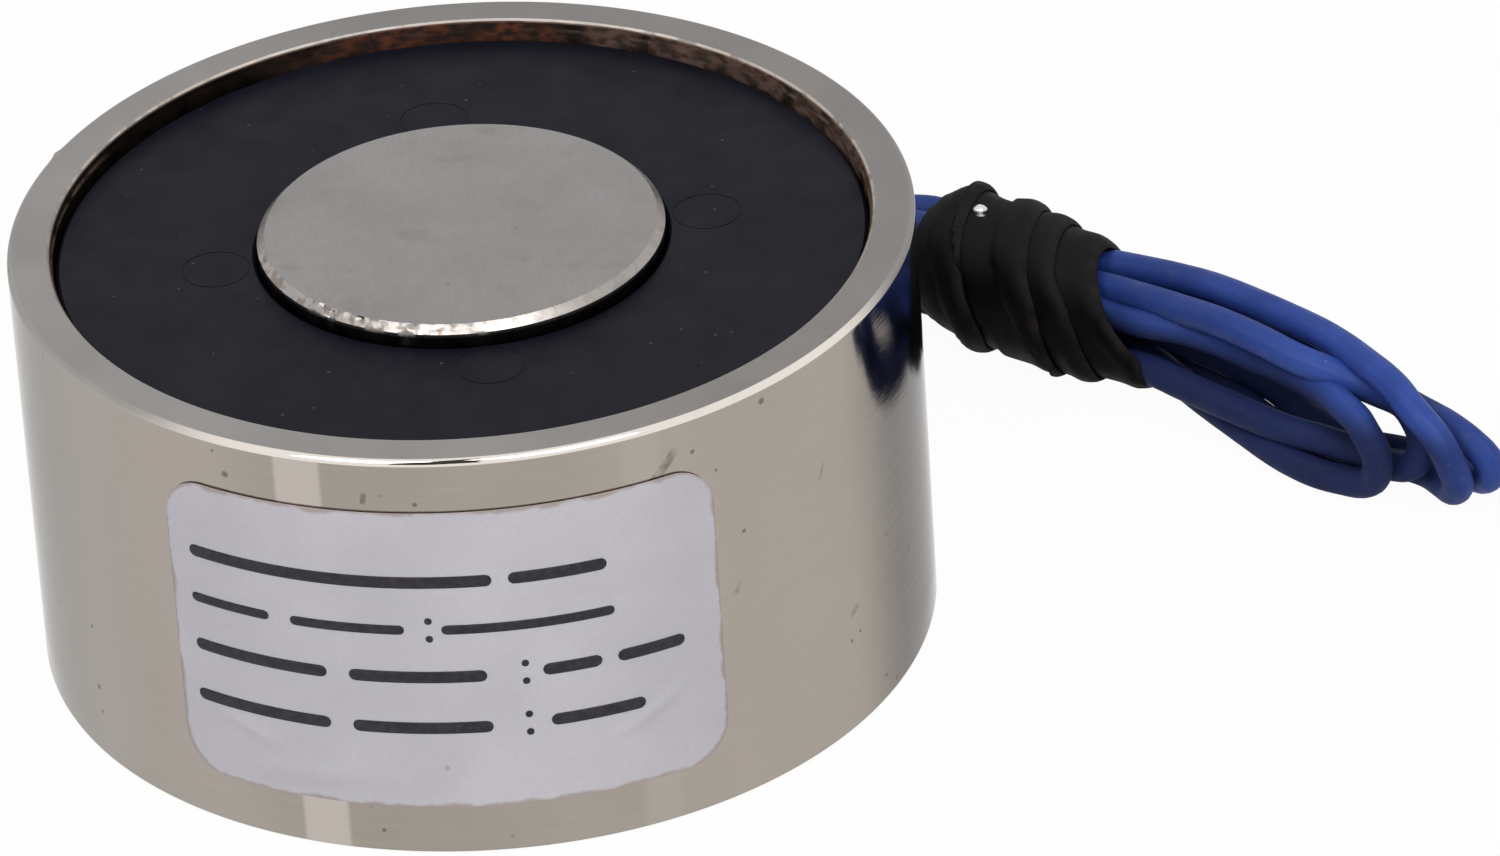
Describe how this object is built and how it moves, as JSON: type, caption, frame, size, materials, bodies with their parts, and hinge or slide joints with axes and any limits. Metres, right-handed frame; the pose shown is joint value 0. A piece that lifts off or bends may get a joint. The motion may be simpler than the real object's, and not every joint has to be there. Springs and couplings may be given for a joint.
{
  "type": "holding electromagnet",
  "caption": "Round cup-type holding electromagnet with a central pole, a flat working face and insulated leads folded and taped into a hank.",
  "frame": {"origin": "centre of the cup's underside, which the magnet rests on", "axes": "+Z is the magnet's axis, from its mounting face to its working face; -Y faces the middle of the front, where the label is; the leads leave the wall at the back and lie to +X"},
  "size_m": [0.0666, 0.0533, 0.02],
  "materials": {
    "cup_plating": "bright nickel plate with faint turning marks",
    "pole_plating": "satin ground and plated face",
    "bobbin_plastic": "moulded, slightly glossy black",
    "winding_copper": "enamelled copper wire",
    "insulating_film": "amber film tape",
    "solder": "tinned, bright",
    "shrink_sleeve": "heat-shrunk tubing",
    "seal_resin": "cast resin",
    "lead_insulation": "soft blue wire insulation with a satin sheen",
    "insulating_tape": "black insulating tape",
    "label_paper": "white sticker, slightly soiled at its edges"
  },
  "bodies": {
    "root": {"housing_cup": "cup_plating", "pole_core": "pole_plating", "coil_bobbin": "bobbin_plastic", "coil_winding": "winding_copper", "winding_wrap": "insulating_film", "coil_start_tail": "winding_copper", "coil_finish_tail": "winding_copper", "solder_splice_a": "solder", "solder_splice_b": "solder", "splice_sleeve_a": "shrink_sleeve", "splice_sleeve_b": "shrink_sleeve", "exit_seal": "seal_resin", "lead_wire_a": "lead_insulation", "lead_wire_b": "lead_insulation", "lead_hank": "lead_insulation", "hank_tape": "insulating_tape", "lead_tip_a": "solder", "lead_tip_b": "solder", "rating_label": "label_paper"}
  },
  "joints": []
}
